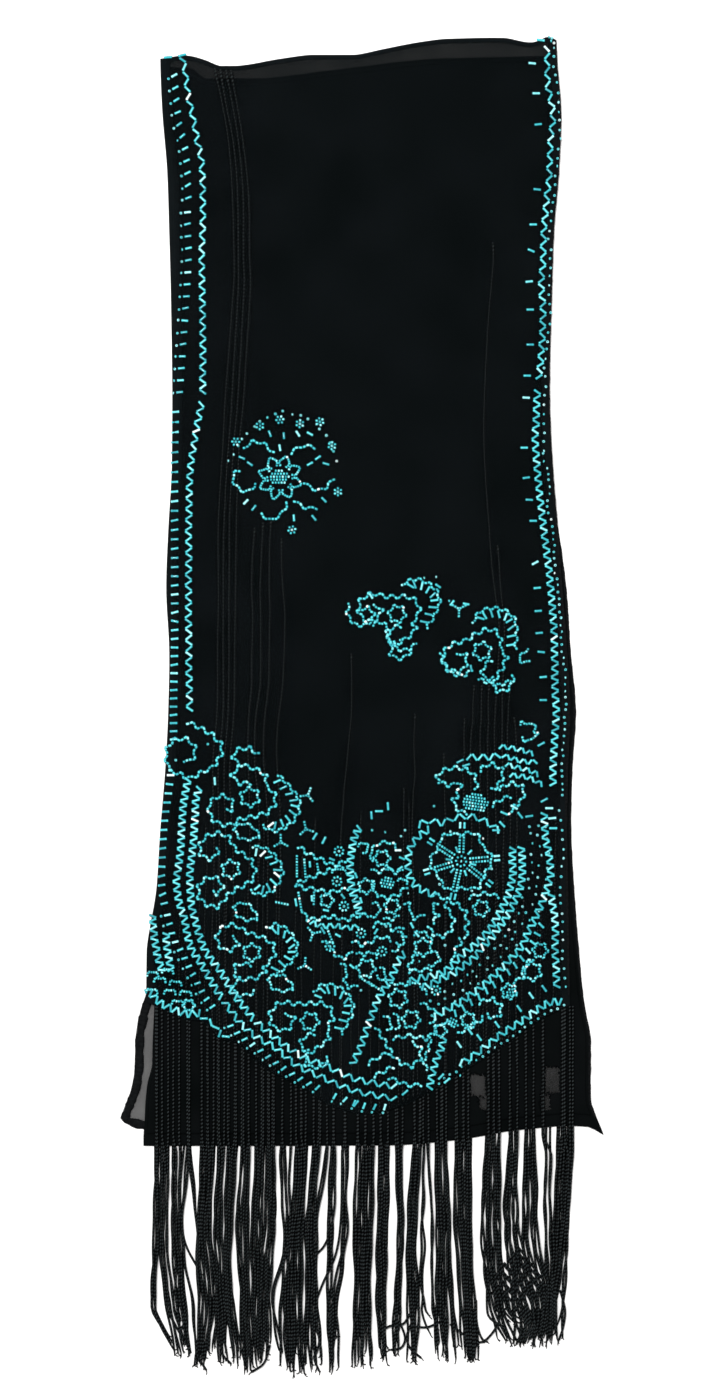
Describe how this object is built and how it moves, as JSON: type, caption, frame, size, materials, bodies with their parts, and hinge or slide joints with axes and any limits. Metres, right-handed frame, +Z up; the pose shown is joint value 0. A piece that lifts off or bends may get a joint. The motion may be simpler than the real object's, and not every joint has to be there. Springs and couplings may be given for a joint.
{
  "type": "evening stole",
  "caption": "Long sheer black evening stole, folded in four and laid flat, with turquoise bead embroidery, couched black cords and a long cord fringe below a pointed beaded hem.",
  "frame": {"origin": "centre of the footprint of the laid stole, on the surface that it lies on", "axes": "+Y along the stole towards the cross fold, with the fringe at -Y; +Z up, away from the surface; +X to the right seen from above"},
  "size_m": [0.3626, 0.9972, 0.0069],
  "materials": {
    "black_sheer_cloth": "matt sheer crepe chiffon",
    "black_cord": "soft satin twisted cord"
  },
  "bodies": {
    "root": {"back_layer": "black_sheer_cloth", "inner_layers": "black_sheer_cloth", "face_layer": "black_sheer_cloth", "fringe_front": "black_cord", "fringe_back": "black_cord", "cord_left_1": "black_cord", "cord_left_2": "black_cord", "cord_left_3": "black_cord", "cord_left_4": "black_cord", "cord_left_5": "black_cord", "cord_left_6": "black_cord", "cord_left_7": "black_cord", "cord_left_8": "black_cord", "cord_middle_1": "black_cord", "cord_middle_2": "black_cord", "cord_middle_3": "black_cord", "cord_right_1": "black_cord", "cord_right_2": "black_cord", "cord_right_3": "black_cord", "cord_right_4": "black_cord", "cord_right_5": "black_cord", "cord_right_6": "black_cord", "cord_right_7": "black_cord", "cord_right_8": "black_cord", "cord_right_9": "black_cord"}
  },
  "joints": []
}
